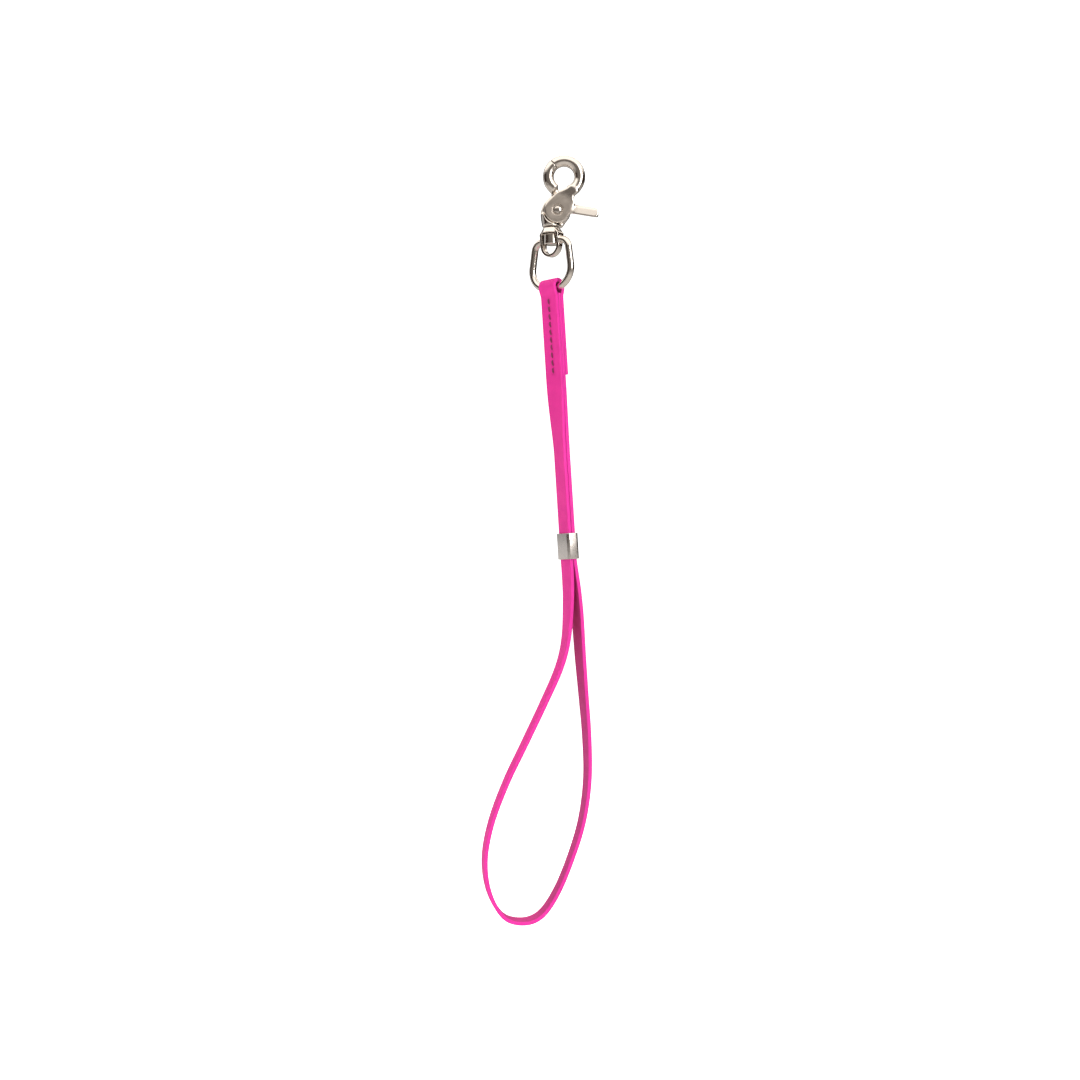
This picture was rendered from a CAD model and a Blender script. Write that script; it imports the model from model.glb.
"""Leather wrist lanyard with a swivelling scissor snap hook, hanging from its hook."""
import math

import bpy
from mathutils import Matrix, Vector


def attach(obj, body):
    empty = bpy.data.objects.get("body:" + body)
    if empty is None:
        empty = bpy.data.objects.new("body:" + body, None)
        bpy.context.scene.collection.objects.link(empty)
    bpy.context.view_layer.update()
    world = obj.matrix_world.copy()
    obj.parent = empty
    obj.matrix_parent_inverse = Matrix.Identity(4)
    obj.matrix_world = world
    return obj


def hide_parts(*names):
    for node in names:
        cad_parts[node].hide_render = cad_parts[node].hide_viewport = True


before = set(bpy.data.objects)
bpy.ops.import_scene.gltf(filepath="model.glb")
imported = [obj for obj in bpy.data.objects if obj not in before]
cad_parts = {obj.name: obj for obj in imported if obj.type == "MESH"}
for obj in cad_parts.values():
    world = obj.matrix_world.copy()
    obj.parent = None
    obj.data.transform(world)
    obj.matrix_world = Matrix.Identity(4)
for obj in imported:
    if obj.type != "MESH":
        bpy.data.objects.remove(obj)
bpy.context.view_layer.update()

MM = 0.001

# ---- sizes shared with the design, in millimetres and degrees -----------------------------------

RING_R = 5.0
BAR_R = 1.8
PIVOT = Vector((-2.1, 0, -10.9))
BODY_T = 4.4
RIVET_HEAD_R = 1.35
SWIVEL_X = -4.0
STUD_R = 1.25
BARREL_R = 2.45
BARREL_TOP = -18.42
BARREL_H = 3.4
BAR_Z = -35.5
WIRE_R = 1.15
LOOP_TURN = 40
STRAP_W = 6.4
STRAP_T = 1.25
LAYER = 1.31
FOLD_R = 2.175
TAIL = 28.1
PINCH_LEN = 3.4
FOLD_START = -0.4
FRONT_START = -0.6
END_GAP = 0.4
LEAN = 3.6
NECK = 87.0
WRIST_H = 114.0
WRIST_W = 35.6
KEEPER_TURN = 62
STITCHES = 10
STITCH_PITCH = 2.45
STITCH_LEN = 1.45
THREAD_R = 0.3
STITCH_START = 4.6
STITCH_REACH = STITCH_LEN + 0.3

# wrist loop: share of its width, share of its height, turn of the face
WRIST_SHAPE = [
    (-0.02, 0.06, 64), (-0.03, 0.12, 67), (-0.07, 0.22, 72), (-0.15, 0.3, 75),
    (-0.31, 0.395, 77), (-0.51, 0.505, 78), (-0.7, 0.61, 79), (-0.855, 0.72, 80),
    (-0.93, 0.82, 80), (-0.905, 0.91, 80), (-0.79, 0.978, 80), (-0.61, 0.998, 80),
    (-0.45, 0.982, 80), (-0.3, 0.925, 80), (-0.16, 0.84, 80), (-0.03, 0.735, 78),
    (0.045, 0.62, 76), (0.065, 0.5, 73), (0.06, 0.38, 70), (0.055, 0.27, 66),
    (0.055, 0.16, 63), (0.045, 0.09, 62), (0.03, 0.04, 62)]

# ---- small helpers ------------------------------------------------------------------------------


SOLID_WELD = 0.000002
ROLL_WELD = 0.000004


def clear_selection():
    if bpy.context.object and bpy.context.object.mode != "OBJECT":
        bpy.ops.object.mode_set(mode="OBJECT")
    bpy.ops.object.select_all(action="DESELECT")


def only(obj):
    """Makes obj the one selected and active object."""
    clear_selection()
    obj.select_set(True)
    bpy.context.view_layer.objects.active = obj
    return obj


def named(name):
    obj = bpy.context.object
    obj.name = name
    obj.data.name = name
    return obj


def settle(obj):
    """Puts the object's place, turn and scale into its mesh."""
    only(obj)
    bpy.ops.object.transform_apply(location=True, rotation=True, scale=True)
    return obj


def modify(obj, kind, **settings):
    """Adds one modifier and applies it."""
    only(obj)
    mod = obj.modifiers.new(kind.lower(), kind)
    for key, value in settings.items():
        setattr(mod, key, value)
    bpy.ops.object.modifier_apply(modifier=mod.name)
    return obj


def join(main, *others):
    only(main)
    for other in others:
        other.select_set(True)
    bpy.ops.object.join()
    return main


def cylinder(name, r, low, high, axis="Z", centre=(0, 0, 0), sides=64):
    """A closed cylinder from low to high along the axis through centre, in millimetres."""
    clear_selection()
    bpy.ops.mesh.primitive_cylinder_add(vertices=sides, radius=r * MM, depth=(high - low) * MM)
    obj = named(name)
    shift = Vector((0, 0, (high + low) / 2 * MM))
    turn = {"Z": Matrix(), "Y": Matrix.Rotation(math.radians(-90), 4, "X"),
            "X": Matrix.Rotation(math.radians(90), 4, "Y")}[axis]
    obj.matrix_world = Matrix.Translation(Vector(centre) * MM) @ turn @ Matrix.Translation(shift)
    return settle(obj)


def ball(name, r, centre, stretch=(1, 1, 1)):
    clear_selection()
    bpy.ops.mesh.primitive_uv_sphere_add(segments=48, ring_count=24, radius=r * MM,
                                         location=Vector(centre) * MM)
    obj = named(name)
    obj.scale = stretch
    return settle(obj)


def smooth_by_angle(obj, degrees=35):
    only(obj)
    bpy.ops.object.shade_smooth_by_angle(angle=math.radians(degrees))
    return obj


def close_roll(obj):
    """Welds the seam of a grid rolled into a tube, and caps its ends."""
    only(obj)
    bpy.ops.object.mode_set(mode="EDIT")
    bpy.ops.mesh.select_all(action="SELECT")
    bpy.ops.mesh.remove_doubles(threshold=ROLL_WELD)
    bpy.ops.mesh.select_all(action="DESELECT")
    bpy.ops.mesh.select_non_manifold()
    bpy.ops.mesh.edge_face_add()
    bpy.ops.mesh.select_all(action="SELECT")
    bpy.ops.mesh.normals_make_consistent(inside=False)
    bpy.ops.object.mode_set(mode="OBJECT")
    return obj


def solid_copy(node, name):
    """A closed, merged copy of a design solid, to be worked on."""
    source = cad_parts[node]
    obj = source.copy()
    obj.data = source.data.copy()
    for key in list(obj.keys()):
        del obj[key]
    bpy.context.collection.objects.link(obj)
    obj.parent = None
    obj.matrix_world = Matrix.Identity(4)
    obj.name = name
    obj.data.name = name
    obj.data.materials.clear()
    only(obj)
    bpy.ops.object.mode_set(mode="EDIT")
    bpy.ops.mesh.select_all(action="SELECT")
    bpy.ops.mesh.remove_doubles(threshold=SOLID_WELD)
    bpy.ops.mesh.normals_make_consistent(inside=False)
    bpy.ops.object.mode_set(mode="OBJECT")
    return obj


def cast(obj, voxel, rounds):
    """Fuses what is in the mesh into one skin and softens its edges, as a casting's are."""
    modify(obj, "REMESH", mode="VOXEL", voxel_size=voxel * MM, adaptivity=0)
    modify(obj, "SMOOTH", factor=0.5, iterations=rounds)
    obj.data.polygons.foreach_set("use_smooth", [True] * len(obj.data.polygons))
    return obj


def soften(obj, rounds, weigh):
    """Rounds the skin further where weigh, from 0 to 1, asks for it."""
    zone = obj.vertex_groups.new(name="soft")
    for v in obj.data.vertices:
        share = weigh(v.co / MM)
        if share > 0.01:
            zone.add([v.index], min(1.0, share), "REPLACE")
    modify(obj, "SMOOTH", factor=0.5, iterations=rounds, vertex_group="soft")
    obj.vertex_groups.clear()
    return obj


def dress(obj, *materials):
    obj.data.materials.clear()
    for material in materials:
        obj.data.materials.append(material)
    return obj


# ---- shader node groups -------------------------------------------------------------------------


class Shader:
    """Short calls for adding and joining nodes in a tree."""

    def __init__(self, tree):
        self.tree = tree

    def node(self, kind, **settings):
        made = self.tree.nodes.new(kind)
        for key, value in settings.items():
            setattr(made, key, value)
        return made

    def link(self, source, target):
        self.tree.links.new(source, target)

    def math(self, operation, a, b):
        made = self.node("ShaderNodeMath", operation=operation)
        for socket, value in zip(made.inputs, (a, b)):
            if isinstance(value, (int, float)):
                socket.default_value = value
            else:
                self.link(value, socket)
        return made.outputs[0]

    def noise(self, vector, scale, detail=3.0, roughness=0.5):
        made = self.node("ShaderNodeTexNoise")
        made.inputs["Scale"].default_value = scale
        made.inputs["Detail"].default_value = detail
        made.inputs["Roughness"].default_value = roughness
        self.link(vector, made.inputs["Vector"])
        return made.outputs["Fac"]

    def ramp(self, value, low, high, a=(0, 0, 0, 1), b=(1, 1, 1, 1)):
        made = self.node("ShaderNodeValToRGB")
        made.color_ramp.elements[0].position = low
        made.color_ramp.elements[1].position = high
        made.color_ramp.elements[0].color = a
        made.color_ramp.elements[1].color = b
        self.link(value, made.inputs["Fac"])
        return made.outputs["Color"]

    def mix(self, fac, a, b):
        made = self.node("ShaderNodeMix", data_type="RGBA")
        for socket, value in zip((made.inputs[0], made.inputs[6], made.inputs[7]), (fac, a, b)):
            if isinstance(value, (int, float, tuple)):
                socket.default_value = value
            else:
                self.link(value, socket)
        return made.outputs[2]


def group(name, inputs, outputs):
    """A node group with float inputs {name: default} and the named float outputs."""
    tree = bpy.data.node_groups.new(name, "ShaderNodeTree")
    tree.interface.new_socket("Vector", in_out="INPUT", socket_type="NodeSocketVector")
    for key, value in inputs.items():
        socket = tree.interface.new_socket(key, in_out="INPUT", socket_type="NodeSocketFloat")
        socket.default_value = value
    for key in outputs:
        tree.interface.new_socket(key, in_out="OUTPUT", socket_type="NodeSocketFloat")
    work = Shader(tree)
    return work, work.node("NodeGroupInput"), work.node("NodeGroupOutput")


def make_grain():
    """Leather grain: pebbles with pores, and slow creases. Gives a height and a pore mask."""
    work, given, out = group("leather_grain", {"Scale": 2400.0, "Crease": 0.4},
                             ("Height", "Pores"))
    cells = work.node("ShaderNodeTexVoronoi", feature="DISTANCE_TO_EDGE")
    wander = work.node("ShaderNodeVectorMath", operation="ADD")
    drift = work.node("ShaderNodeTexNoise")
    drift.inputs["Scale"].default_value = 900.0
    small = work.node("ShaderNodeVectorMath", operation="SCALE")
    small.inputs["Scale"].default_value = 0.0005
    work.link(given.outputs["Vector"], drift.inputs["Vector"])
    work.link(drift.outputs["Color"], small.inputs[0])
    work.link(given.outputs["Vector"], wander.inputs[0])
    work.link(small.outputs[0], wander.inputs[1])
    work.link(wander.outputs[0], cells.inputs["Vector"])
    work.link(given.outputs["Scale"], cells.inputs["Scale"])
    pebble = work.ramp(cells.outputs["Distance"], 0.0, 0.22)
    fine = work.noise(given.outputs["Vector"], 9000.0, 4.0, 0.6)
    slow = work.noise(given.outputs["Vector"], 160.0, 3.0, 0.55)
    crease = work.math("MULTIPLY", slow, given.outputs["Crease"])
    height = work.math("ADD", work.math("MULTIPLY", pebble, 0.5),
                       work.math("MULTIPLY", fine, 0.35))
    work.link(work.math("ADD", height, crease), out.inputs["Height"])
    work.link(work.math("SUBTRACT", 1.0, pebble), out.inputs["Pores"])
    return work.tree


def make_handling():
    """Marks of handling: soft smudges and a few fine scratches, from 0 to 1."""
    work, given, out = group("handling_marks", {"Size": 220.0, "Scratches": 0.5},
                             ("Smudge", "Scratch"))
    blot = work.node("ShaderNodeTexNoise")
    blot.inputs["Detail"].default_value = 5.0
    blot.inputs["Roughness"].default_value = 0.62
    work.link(given.outputs["Vector"], blot.inputs["Vector"])
    work.link(given.outputs["Size"], blot.inputs["Scale"])
    work.link(work.ramp(blot.outputs["Fac"], 0.38, 0.68), out.inputs["Smudge"])
    squeeze = work.node("ShaderNodeMapping")
    squeeze.inputs["Rotation"].default_value = (0.4, 0.9, 0.3)
    squeeze.inputs["Scale"].default_value = (1.0, 14.0, 2.0)
    work.link(given.outputs["Vector"], squeeze.inputs["Vector"])
    hair = work.noise(squeeze.outputs[0], 700.0, 2.0, 0.5)
    line = work.ramp(hair, 0.66, 0.7)
    work.link(work.math("MULTIPLY", line, given.outputs["Scratches"]), out.inputs["Scratch"])
    return work.tree


def make_wear():
    """Edge wear: bright on convex edges, dark in creases, broken up by noise."""
    work, given, out = group("edge_wear", {"Breakup": 900.0}, ("Edge", "Crevice"))
    shape = work.node("ShaderNodeNewGeometry")
    broken = work.node("ShaderNodeTexNoise")
    work.link(given.outputs["Vector"], broken.inputs["Vector"])
    work.link(given.outputs["Breakup"], broken.inputs["Scale"])
    high = work.ramp(shape.outputs["Pointiness"], 0.52, 0.6)
    low = work.ramp(shape.outputs["Pointiness"], 0.42, 0.49)
    work.link(work.math("MULTIPLY", high, broken.outputs["Fac"]), out.inputs["Edge"])
    work.link(work.math("SUBTRACT", 1.0, low), out.inputs["Crevice"])
    return work.tree


def make_brushing():
    """Fine parallel brush lines that run along X of the vector it is given."""
    work, given, out = group("brush_lines", {"Fineness": 2600.0}, ("Line",))
    squeeze = work.node("ShaderNodeMapping")
    squeeze.inputs["Scale"].default_value = (0.035, 1.0, 1.0)
    work.link(given.outputs["Vector"], squeeze.inputs["Vector"])
    stroke = work.node("ShaderNodeTexNoise")
    stroke.inputs["Detail"].default_value = 4.0
    stroke.inputs["Roughness"].default_value = 0.7
    work.link(squeeze.outputs[0], stroke.inputs["Vector"])
    work.link(given.outputs["Fineness"], stroke.inputs["Scale"])
    work.link(stroke.outputs["Fac"], out.inputs["Line"])
    return work.tree


GRAIN = make_grain()
HANDLING = make_handling()
WEAR = make_wear()
BRUSHING = make_brushing()


class Material(Shader):
    """A material with one Principled shader, object coordinates and a bump."""

    def __init__(self, name, colour, roughness, metallic=0.0, **plain):
        self.made = bpy.data.materials.new(name)
        self.made.use_nodes = True
        self.made.diffuse_color = colour
        super().__init__(self.made.node_tree)
        self.shader = self.tree.nodes["Principled BSDF"]
        self.set("Base Color", colour)
        self.set("Roughness", roughness)
        self.set("Metallic", metallic)
        for key, value in plain.items():
            self.set(key.replace("_", " "), value)
        self.place = self.node("ShaderNodeTexCoord").outputs["Object"]

    def set(self, socket, value):
        if isinstance(value, (int, float, tuple)):
            self.shader.inputs[socket].default_value = value
        else:
            self.link(value, self.shader.inputs[socket])

    def use(self, tree, vector=None, **values):
        made = self.node("ShaderNodeGroup")
        made.node_tree = tree
        self.link(vector or self.place, made.inputs["Vector"])
        for key, value in values.items():
            made.inputs[key].default_value = value
        return made.outputs

    def bump(self, height, strength, distance):
        made = self.node("ShaderNodeBump")
        made.inputs["Strength"].default_value = strength
        made.inputs["Distance"].default_value = distance
        self.link(height, made.inputs["Height"])
        self.set("Normal", made.outputs["Normal"])

    def turned(self, rotation):
        made = self.node("ShaderNodeMapping")
        made.inputs["Rotation"].default_value = rotation
        self.link(self.place, made.inputs["Vector"])
        return made.outputs[0]


def leather(name, colour, deep, roughness, crease, strength):
    m = Material(name, colour, roughness, Specular_IOR_Level=0.3)
    grain = m.use(GRAIN, Scale=4200.0, Crease=crease)
    marks = m.use(HANDLING, Size=130.0, Scratches=0.15)
    wear = m.use(WEAR, Breakup=700.0)
    shade = m.mix(marks["Smudge"], colour, tuple(0.9 * c for c in colour[:3]) + (1,))
    pores = m.mix(m.math("MULTIPLY", grain["Pores"], 0.22), shade, deep)
    m.set("Base Color", m.mix(m.math("MULTIPLY", wear["Crevice"], 0.5), pores, deep))
    m.set("Roughness", m.math("ADD", m.math("MULTIPLY", marks["Smudge"], 0.14), roughness - 0.05))
    m.bump(grain["Height"], strength, 0.00006)
    return m.made


def plate_mask(m):
    """1 on the flat front of the pivot plate, 0 by the hook's bar and the lever."""
    flat = m.node("ShaderNodeVectorMath", operation="MULTIPLY")
    flat.inputs[1].default_value = (1, 0, 1)
    m.link(m.place, flat.inputs[0])
    off = m.node("ShaderNodeVectorMath", operation="DISTANCE")
    off.inputs[1].default_value = PIVOT * MM
    m.link(flat.outputs[0], off.inputs[0])
    near = m.ramp(m.math("MULTIPLY", off.outputs["Value"], 100.0), 0.43, 0.66,
                  (1, 1, 1, 1), (0, 0, 0, 1))
    facing = m.node("ShaderNodeSeparateXYZ")
    m.link(m.node("ShaderNodeNewGeometry").outputs["Normal"], facing.inputs[0])
    ahead = m.ramp(m.math("MULTIPLY", facing.outputs["Y"], -1.0), 0.9, 0.98)
    return m.math("MULTIPLY", near, ahead)


def metal(name, colour, dark, roughness, brush=0.0, turn=(0, 0, 0), plated=False):
    m = Material(name, colour, roughness, 1.0)
    marks = m.use(HANDLING, Size=260.0, Scratches=0.2)
    wear = m.use(WEAR, Breakup=1200.0)
    tone = m.mix(m.math("MULTIPLY", wear["Crevice"], 0.75), colour, dark)
    bright = tuple(min(1.0, 1.12 * c) for c in colour[:3]) + (1,)
    tone = m.mix(m.math("MULTIPLY", wear["Edge"], 0.6), tone, bright)
    rough = m.math("ADD", m.math("MULTIPLY", marks["Smudge"], 0.09), roughness - 0.03)
    rough = m.math("ADD", rough, m.math("MULTIPLY", marks["Scratch"], 0.12))
    height = m.math("MULTIPLY", marks["Scratch"], -0.3)
    if brush:
        line = m.use(BRUSHING, m.turned(turn))["Line"]
        tone = m.mix(m.math("MULTIPLY", line, 0.22), tone, dark)
        rough = m.math("ADD", rough, m.math("MULTIPLY", line, 0.18))
        height = m.math("ADD", height, m.math("MULTIPLY", line, brush))
    else:
        ripple = m.noise(m.place, 320.0, 2.0)
        height = m.math("ADD", height, m.math("MULTIPLY", ripple, 0.5))
    if plated:
        mask = plate_mask(m)
        line = m.math("MULTIPLY", m.use(BRUSHING, m.turned((0, 0.6, 0)))["Line"], mask)
        tone = m.mix(mask, tone, (0.72, 0.65, 0.58, 1))
        tone = m.mix(m.math("MULTIPLY", line, 0.3), tone, dark)
        rough = m.math("ADD", rough, m.math("MULTIPLY", mask, 0.24))
        height = m.math("ADD", height, line)
    m.set("Base Color", tone)
    m.set("Roughness", rough)
    m.bump(height, 0.25, 0.00004)
    return m.made


def thread(name, colour, deep):
    m = Material(name, colour, 0.6)
    fuzz = m.noise(m.place, 14000.0, 4.0, 0.7)
    wear = m.use(WEAR, Breakup=2000.0)
    tone = m.mix(fuzz, deep, colour)
    m.set("Base Color", m.mix(m.math("MULTIPLY", wear["Crevice"], 0.8), tone, deep))
    m.bump(fuzz, 0.5, 0.00005)
    return m.made


NICKEL_TONE = (0.8, 0.74, 0.68, 1)
NICKEL_DARK = (0.12, 0.08, 0.06, 1)

PINK_FACE = leather("pink_leather", (0.88, 0.03, 0.33, 1), (0.66, 0.018, 0.22, 1),
                    roughness=0.55, crease=0.4, strength=0.4)
PINK_EDGE = leather("dyed_edge", (0.93, 0.035, 0.4, 1), (0.74, 0.02, 0.28, 1),
                    roughness=0.42, crease=0.2, strength=0.3)
PINK_BACK = leather("flesh_side", (0.6, 0.045, 0.24, 1), (0.38, 0.02, 0.13, 1),
                    roughness=0.75, crease=0.6, strength=0.9)
NICKEL = metal("polished_nickel", NICKEL_TONE, NICKEL_DARK, roughness=0.13)
FLAT_NICKEL = metal("nickel_with_brushed_plate", NICKEL_TONE, NICKEL_DARK, roughness=0.13,
                    plated=True)
SLEEVE = metal("brushed_sleeve", (0.76, 0.72, 0.69, 1), (0.2, 0.15, 0.13, 1),
               roughness=0.18, brush=0.7, turn=(0, 1.5708, 0))
SPRING_STEEL = metal("spring_steel", (0.36, 0.34, 0.32, 1), (0.08, 0.07, 0.06, 1),
                     roughness=0.3, brush=0.6)
THREAD = thread("waxed_thread", (0.3, 0.03, 0.12, 1), (0.11, 0.01, 0.04, 1))

# ---- strap --------------------------------------------------------------------------------------


def ease(t):
    t = min(1.0, max(0.0, t))
    return t * t * (3 - 2 * t)


def mix(a, b, t):
    return a + (b - a) * t


TWIST_TOP = -TAIL - 1
TWIST_LEN = 25.0
FOLD_STEPS = 40
STEP_CHANGE = -TAIL - 2


def face_turn(z):
    return mix(LOOP_TURN, KEEPER_TURN, ease((TWIST_TOP - z) / TWIST_LEN))


def slide_over(z):
    return ease((TWIST_TOP - z) / TWIST_LEN) * LAYER / 2


def fold_in(z):
    return mix(FOLD_R, LAYER, ease(-z / PINCH_LEN))


def curve(a, b, c, d, t):
    """A smooth curve through b and c, at t from 0 to 1."""
    return 0.5 * (2 * b + (c - a) * t + (2 * a - 5 * b + 4 * c - d) * t * t
                  + (3 * b - a - 3 * c + d) * t ** 3)


def strap_stations(stitched_step, plain_step, wrist_steps):
    """The strip's route from tail to hidden end: offset across the layers, height, turn."""
    def run(z0, z1, step, offset):
        n = max(2, round(abs(z1 - z0) / step))
        return [(offset(z), z, face_turn(z)) for z in (mix(z0, z1, i / n) for i in range(n))]

    def front_offset(z):
        return -fold_in(z) + slide_over(z)

    tail = run(-TAIL, FOLD_START, stitched_step, fold_in)
    fold = [(FOLD_R * math.cos(a), FOLD_R * math.sin(a), LOOP_TURN)
            for a in (math.pi * i / FOLD_STEPS for i in range(FOLD_STEPS + 1))]
    front = run(FRONT_START, STEP_CHANGE, stitched_step, front_offset)
    front += run(STEP_CHANGE, -NECK, plain_step, front_offset)
    points = [Vector(p) for p in (
        (-LAYER / 2, -NECK + 4, KEEPER_TURN), (-LAYER / 2, -NECK, KEEPER_TURN),
        *((u * WRIST_W, -NECK - h * WRIST_H, turn) for u, h, turn in WRIST_SHAPE),
        (LAYER / 2, -NECK, KEEPER_TURN), (LAYER / 2, -NECK + 4, KEEPER_TURN))]
    wrist = [tuple(curve(*points[i - 1:i + 3], k / wrist_steps))
             for i in range(1, len(points) - 2) for k in range(wrist_steps)]
    back = run(-NECK, STEP_CHANGE, plain_step, slide_over)
    back += run(STEP_CHANGE, -WIRE_R - END_GAP, 2 * stitched_step, slide_over)
    return tail + fold + front + wrist + back


def strap_place():
    """From the strap's own frame, at the bar, to the object's frame."""
    return Matrix.Translation((SWIVEL_X * MM, 0, BAR_Z * MM)) @ Matrix.Rotation(
        math.radians(-LEAN), 4, "Y")


STRAP_COLUMNS = 24
EDGE_ROUND = 0.26


def build_strap():
    stations = strap_stations(stitched_step=0.26, plain_step=1.0, wrist_steps=8)
    spots = [Vector((u * math.sin(math.radians(t)), u * math.cos(math.radians(t)), z))
             for u, z, t in stations]
    clear_selection()
    bpy.ops.mesh.primitive_grid_add(x_subdivisions=STRAP_COLUMNS, y_subdivisions=len(spots) - 1,
                                    size=1)
    strap = named("leather_strap")
    mesh = strap.data
    row = STRAP_COLUMNS + 1
    uv = mesh.uv_layers.active.data
    along = [0.0]
    for a, b in zip(spots, spots[1:]):
        along.append(along[-1] + (b - a).length)
    for i, spot in enumerate(spots):
        heading = (spots[min(i + 1, len(spots) - 1)] - spots[max(i - 1, 0)]).normalized()
        turn = math.radians(stations[i][2])
        across = Vector((math.cos(turn), -math.sin(turn), 0))
        across = (across - across.dot(heading) * heading).normalized()
        for k in range(row):
            share = k / STRAP_COLUMNS - 0.5
            mesh.vertices[i * row + k].co = (spot + across * share * STRAP_W) * MM
    for loop in mesh.loops:
        i, k = divmod(loop.vertex_index, row)
        uv[loop.index].uv = (k / STRAP_COLUMNS * STRAP_W * MM, along[i] * MM)
    dress(strap, PINK_BACK, PINK_EDGE, PINK_FACE)
    modify(strap, "SOLIDIFY", thickness=STRAP_T * MM, offset=0.0, use_even_offset=False,
           material_offset=2, material_offset_rim=1)
    modify(strap, "BEVEL", width=EDGE_ROUND * MM, segments=3, limit_method="ANGLE",
           angle_limit=math.radians(60))
    press_stitches(strap)
    strap.data.transform(strap_place())
    strap.data.update()
    smooth_by_angle(strap, 50)
    return strap


SEAM_DEPTH = 0.09
SEAM_SPREAD = 0.75
SEAM_LEAD = 1.5
HOLE_DEPTH = 0.2
HOLE_SPREAD = 0.12
DEEPEST = 0.24


def press_stitches(strap):
    """Sinks the leather along the seam and round each stitch hole, on the outer faces."""
    turn = Matrix.Rotation(math.radians(LOOP_TURN), 4, "Z")
    back = turn.inverted()
    outer = LAYER + STRAP_T / 2 - 0.25
    holes = []
    for i in range(STITCHES):
        middle = -STITCH_START - i * STITCH_PITCH
        holes += [middle + STITCH_REACH / 2, middle - STITCH_REACH / 2]
    for v in strap.data.vertices:
        p = turn @ (v.co / MM)
        if not -TAIL < p.z < -1 or abs(p.y) < outer:
            continue
        fade = ease((-p.z - SEAM_LEAD) / SEAM_LEAD)
        seam = SEAM_DEPTH * math.exp(-(p.x / SEAM_SPREAD) ** 2) * fade
        dip = sum(HOLE_DEPTH * math.exp(-((p.x ** 2 + (p.z - h) ** 2) / HOLE_SPREAD))
                  for h in holes)
        p.y -= math.copysign(seam + min(dip, DEEPEST), p.y)
        v.co = (back @ p) * MM


STITCH_AROUND = 16
STITCH_ALONG = 36
STITCH_ARCH = 0.34
STITCH_SINK = 0.26
STITCH_SLANT = 0.3


def build_stitches(name, side):
    """One row of ten stitches of two-ply thread, each arched with its ends in the holes."""
    place = strap_place() @ Matrix.Rotation(math.radians(-LOOP_TURN), 4, "Z")
    rows = []
    for i in range(STITCHES):
        clear_selection()
        bpy.ops.mesh.primitive_grid_add(x_subdivisions=STITCH_AROUND,
                                        y_subdivisions=STITCH_ALONG, size=1)
        stitch = named(name)
        for index, v in enumerate(stitch.data.vertices):
            step, around = divmod(index, STITCH_AROUND + 1)
            t = step / STITCH_ALONG
            angle = around / STITCH_AROUND * 2 * math.pi
            lobes = 1 + 0.17 * math.cos(2 * angle - 5.5 * math.pi * t * 2)
            end = math.sin(math.pi * min(max(t, 0.02), 0.98)) ** 0.35
            r = THREAD_R * 0.95 * lobes * (0.55 + 0.45 * end)
            arch = STITCH_ARCH * math.sin(math.pi * t) ** 0.6 - STITCH_SINK
            z = -STITCH_START - i * STITCH_PITCH + (0.5 - t) * STITCH_REACH
            slant = STITCH_SLANT * (t - 0.5)
            y = side * (LAYER + STRAP_T / 2 + arch + r * math.sin(angle) * 0.85)
            v.co = Vector((slant + r * math.cos(angle), y, z)) * MM
        rows.append(close_roll(stitch))
    seam = join(rows[0], *rows[1:])
    seam.name = name
    seam.data.transform(place)
    smooth_by_angle(seam, 60)
    return dress(seam, THREAD)


# ---- snap hook ----------------------------------------------------------------------------------


HEAD_CLEAR = 2.3
CASTING_VOXEL = 0.1
RIVET_VOXEL = 0.05
CAGE_FOOT = -27
JAW_END = -2.9
NECK_FOOT = -16.6
STUD_TOP = -14.4
SHANK_SINK = 0.3
SHANK_R = 0.88
HEAD_H = 0.36


def off_rivet(p):
    """0 at the rivet's head, 1 from a little outside it."""
    return ease(((Vector((p.x, 0, p.z)) - PIVOT).length - HEAD_CLEAR) / 1.0)


def arm_share(p):
    """How far a spot is in the arm between the hook's round bar and the flat plate."""
    around = math.degrees(math.atan2(p.z, p.x))
    off_ring = ease((-18 - around) / 30) if p.z < 0 and around > -150 else 0
    return off_ring * off_rivet(p) * (0.25 if p.x > 3.4 and p.z < -8.4 else 1.0)


def build_arm():
    """The bar between the flat plate and the round hook, from square to round as it rises."""
    first, last, steps, sides = -74, -8, 24, 48
    clear_selection()
    bpy.ops.mesh.primitive_grid_add(x_subdivisions=sides, y_subdivisions=steps, size=1)
    arm = named("arm")
    for index, v in enumerate(arm.data.vertices):
        step, side = divmod(index, sides + 1)
        t = step / steps
        angle = math.radians(mix(first, last, t))
        power = mix(0.42, 1.0, ease(t))
        c, n = (math.copysign(abs(f) ** power, f) for f in
                (math.cos(2 * math.pi * side / sides), math.sin(2 * math.pi * side / sides)))
        reach = RING_R + BAR_R * c + mix(0.35, 0.0, ease(1.6 * t)) * (c > 0) * c
        depth = mix(BODY_T / 2 - 0.05, BAR_R, ease(t))
        back = mix(-0.1, 1.0, ease((t - 0.18) / 0.3)) * BAR_R
        v.co = Vector((reach * math.cos(angle), n * depth if n < 0 else n * max(back, -0.15),
                       reach * math.sin(angle))) * MM
    return close_roll(arm)


def build_trigger():
    hook = join(solid_copy("trigger_hook", "trigger_hook_skin"), build_arm())
    cast(hook, CASTING_VOXEL, 6)
    soften(hook, 220, arm_share)
    return dress(hook, FLAT_NICKEL)


def build_body():
    body = solid_copy("snap_body", "snap_body_skin")
    cast(body, CASTING_VOXEL, 6)

    def weigh(p):
        off_jaw = ease((JAW_END - p.z) / 1.2)
        neck = ease((p.z - NECK_FOOT) / 0.2) if p.z < -15 else 1.0
        return off_rivet(p) * off_jaw * mix(0.3, 1.0, neck)

    soften(body, 260, weigh)
    return dress(body, NICKEL)


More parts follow.
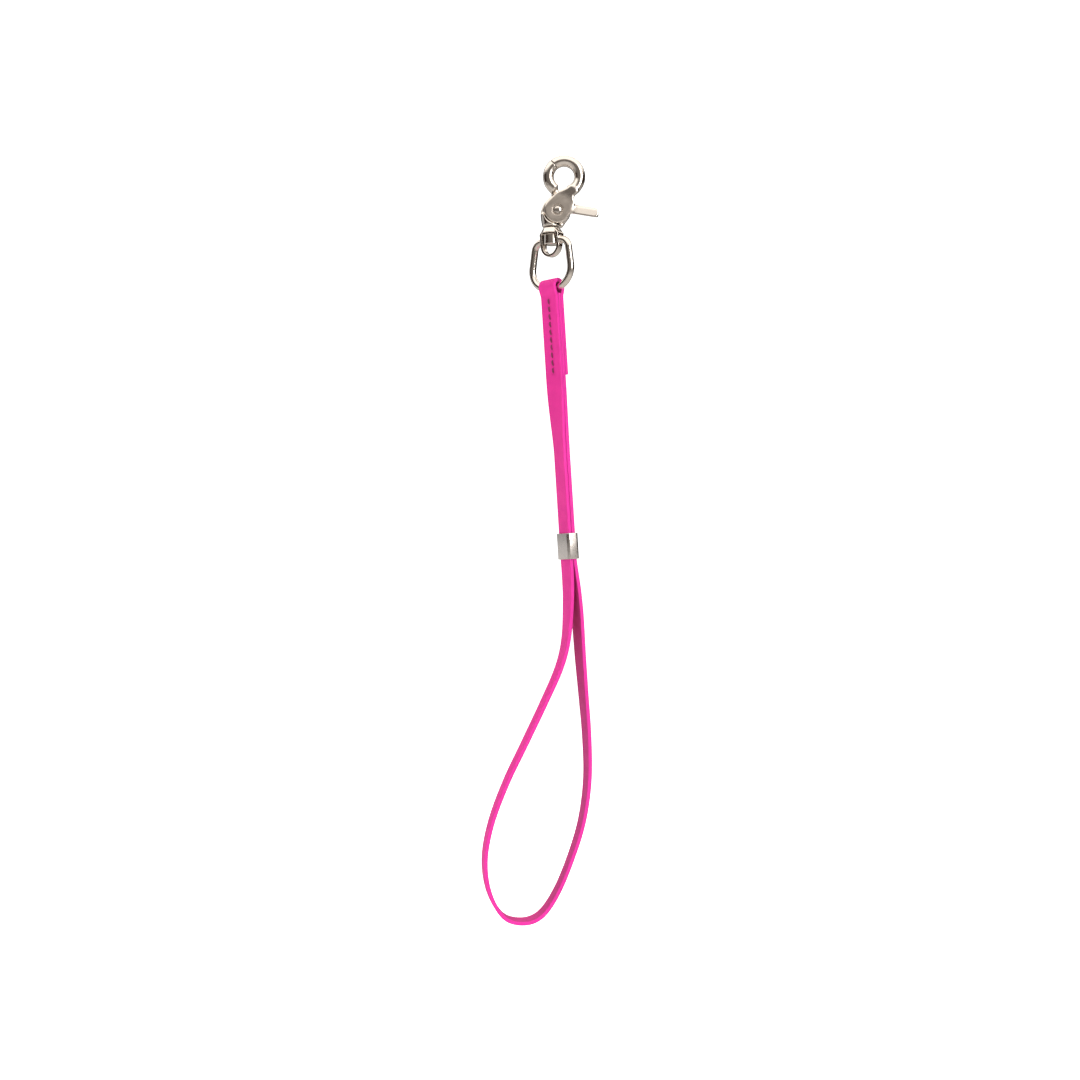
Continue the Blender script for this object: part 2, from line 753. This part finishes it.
def build_loop():
    loop = solid_copy("swivel_loop", "swivel_loop_skin")
    cast(loop, CASTING_VOXEL, 8)

    def weigh(p):
        return 1.0 if p.z > CAGE_FOOT else 0.2

    soften(loop, 36, weigh)
    return dress(loop, NICKEL)


def build_stud():
    shank = cylinder("swivel_stud_skin", STUD_R, BARREL_TOP - SHANK_SINK, STUD_TOP,
                     centre=(SWIVEL_X, 0, 0))
    barrel = cylinder("barrel", BARREL_R, BARREL_TOP - BARREL_H, BARREL_TOP,
                      centre=(SWIVEL_X, 0, 0))
    modify(barrel, "BEVEL", width=0.35 * MM, segments=5, limit_method="ANGLE",
           angle_limit=math.radians(40))
    stud = join(shank, barrel)
    smooth_by_angle(stud, 40)
    return dress(stud, NICKEL)


def build_rivet():
    """The shank with a low peened head in each recess."""
    parts = [cylinder("pivot_rivet_skin", SHANK_R, -BODY_T / 2 + 0.15, BODY_T / 2 - 0.15,
                      "Y", PIVOT)]
    for side in (-1, 1):
        face = BODY_T / 2 - 0.1
        low, high = sorted((side * face, side * (face - HEAD_H)))
        parts.append(cylinder("head", RIVET_HEAD_R - 0.03, low, high, "Y", PIVOT))
        parts.append(ball("dome", 1.0, PIVOT + Vector((0, side * (face - 0.05), 0)), (1, 0.24, 1)))
    rivet = join(*parts)
    cast(rivet, RIVET_VOXEL, 6)
    return dress(rivet, NICKEL)


def build_keeper():
    keeper = solid_copy("keeper", "keeper_sleeve")
    modify(keeper, "BEVEL", width=0.15 * MM, segments=3, limit_method="ANGLE",
           angle_limit=math.radians(50))
    smooth_by_angle(keeper, 30)
    return dress(keeper, SLEEVE)


strap = build_strap()
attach(strap, "strap")
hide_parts("strap")

for row_name, node_name, row_side in (
        ("front_thread", "stitch_front", -1),
        ("back_thread", "stitch_back", 1)):
    seam = build_stitches(row_name, row_side)
    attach(seam, "strap")
    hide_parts(node_name)

for build, body_name, node_name, slot_name in (
        (build_trigger, "trigger", "trigger_hook", "nickel"),
        (build_body, "snap", "snap_body", "nickel"),
        (build_loop, "loop", "swivel_loop", "nickel"),
        (build_stud, "snap", "swivel_stud", "nickel"),
        (build_rivet, "snap", "pivot_rivet", "nickel"),
        (build_keeper, "keeper", "keeper", "brushed_nickel")):
    piece = build()
    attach(piece, body_name)
    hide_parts(node_name)

dress(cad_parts["trigger_spring"], SPRING_STEEL)

# ---- floor, light and camera --------------------------------------------------------------------


def build_stage():
    """A pale sweep: a floor that curves up into a wall behind."""
    m = Material("pale_sweep", (0.93, 0.93, 0.93, 1), 0.9, Emission_Color=(1, 1, 1, 1))
    speck = m.noise(m.place, 30.0, 2.0)
    seen = m.node("ShaderNodeLightPath").outputs
    pale = m.mix(speck, (0.92, 0.92, 0.92, 1), (0.95, 0.95, 0.95, 1))
    level = m.node("ShaderNodeSeparateXYZ")
    m.link(m.node("ShaderNodeNewGeometry").outputs["Normal"], level.inputs[0])
    bounce = m.ramp(level.outputs["Z"], 0.7, 0.95, (0.06, 0.05, 0.045, 1), (0.55, 0.52, 0.49, 1))
    m.set("Base Color", m.mix(seen["Is Glossy Ray"], pale, bounce))
    m.set("Emission Strength", m.math("MULTIPLY", seen["Is Camera Ray"], 0.9))
    clear_selection()
    bpy.ops.mesh.primitive_grid_add(x_subdivisions=2, y_subdivisions=48, size=1)
    sweep = named("floor")
    floor_z, bend, front, wall, span = -0.29, 1.2, -2.5, 1.6, 8.0
    for v in sweep.data.vertices:
        reach = (v.co.y + 0.5) * span
        flat = wall - front
        turn = min(math.pi / 2, max(0.0, (reach - flat) / bend))
        rise = max(0.0, reach - flat - bend * math.pi / 2)
        v.co = (v.co.x * span, front + min(reach, flat) + bend * math.sin(turn),
                floor_z + bend * (1 - math.cos(turn)) + rise)
    smooth_by_angle(sweep, 40)
    dress(sweep, m.made)


def build_world():
    """White to the eye. Metal sees bright cards in a dark room, and the rest a soft glow."""
    world = bpy.data.worlds.new("studio")
    bpy.context.scene.world = world
    world.use_nodes = True
    work = Shader(world.node_tree)
    backdrop = world.node_tree.nodes["Background"]
    backdrop.inputs["Color"].default_value = (1, 1, 1, 1)
    direction = work.node("ShaderNodeTexCoord").outputs["Generated"]
    split = work.node("ShaderNodeSeparateXYZ")
    work.link(direction, split.inputs[0])
    towards = work.node("ShaderNodeVectorMath", operation="DOT_PRODUCT")
    towards.inputs[1].default_value = Vector((0.63, -0.73, 0.25)).normalized()
    work.link(direction, towards.inputs[0])
    right = work.ramp(towards.outputs["Value"], 0.9, 0.96)
    above = work.ramp(split.outputs["Z"], 0.36, 0.6)
    ahead = work.ramp(work.math("MULTIPLY", split.outputs["Y"], -1.0), 0.4, 0.85)
    below = work.ramp(work.math("MULTIPLY", split.outputs["Z"], -1.0), 0.1, 0.35)
    bright = work.math("MAXIMUM", work.math("MULTIPLY", ahead, 0.1), above)
    bright = work.math("MAXIMUM", bright, right)
    bright = work.math("MAXIMUM", bright, work.math("MULTIPLY", below, 0.5))
    bands = work.node("ShaderNodeMix", data_type="RGBA")
    bands.inputs[6].default_value = (0.025, 0.014, 0.009, 1)
    bands.inputs[7].default_value = (1.5, 1.43, 1.34, 1)
    work.link(bright, bands.inputs[0])
    card = work.node("ShaderNodeBackground")
    work.link(bands.outputs[2], card.inputs["Color"])
    glow = work.node("ShaderNodeBackground")
    glow.inputs["Color"].default_value = (0.5, 0.5, 0.5, 1)
    seen = work.node("ShaderNodeLightPath")
    for ray, first, second in (("Is Glossy Ray", glow, card), ("Is Camera Ray", None, backdrop)):
        blend = work.node("ShaderNodeMixShader")
        work.link(seen.outputs[ray], blend.inputs["Fac"])
        work.link((first or last).outputs[0], blend.inputs[1])
        work.link(second.outputs[0], blend.inputs[2])
        last = blend
    work.link(last.outputs[0], world.node_tree.nodes["World Output"].inputs["Surface"])


def soft_light(name, place, aim, size, power, mirrored=False):
    data = bpy.data.lights.new(name, "AREA")
    data.shape = "RECTANGLE"
    data.size, data.size_y = size
    data.energy = power
    lamp = bpy.data.objects.new(name, data)
    bpy.context.collection.objects.link(lamp)
    lamp.visible_glossy = mirrored
    lamp.location = place
    lamp.rotation_euler = (Vector(aim) - Vector(place)).to_track_quat("-Z", "Y").to_euler()


def build_camera():
    """Level with the lanyard's middle, and near: it sees the snap from below and the loop from
    above."""
    data = bpy.data.cameras.new("camera")
    camera = bpy.data.objects.new("camera", data)
    bpy.context.collection.objects.link(camera)
    distance = 0.46
    frame_height = 0.3456
    sensor = 36.0
    data.sensor_width = sensor
    data.lens = sensor * distance / frame_height
    camera.location = (-0.0077, -distance, -0.1162)
    camera.rotation_euler = (math.radians(90), 0, 0)
    bpy.context.scene.camera = camera


build_stage()
build_world()
middle = (0, 0, -0.12)
soft_light("key", (0.45, -0.5, 0.2), middle, (0.16, 0.5), 2.0, True)
soft_light("front_fill", (-0.25, -0.75, 0.1), middle, (0.4, 0.6), 1.5)
soft_light("left_fill", (-0.6, -0.35, 0.0), middle, (0.25, 0.6), 0.45)
soft_light("left_card", (-0.5, 0.32, 0.0), middle, (0.5, 0.8), 0.5, True)
soft_light("rim", (0.2, 0.6, 0.3), middle, (0.5, 0.5), 0.8)
soft_light("top", (0.0, 0.15, 0.45), middle, (0.3, 0.3), 2.2)
build_camera()
bpy.context.scene.view_settings.view_transform = "Standard"
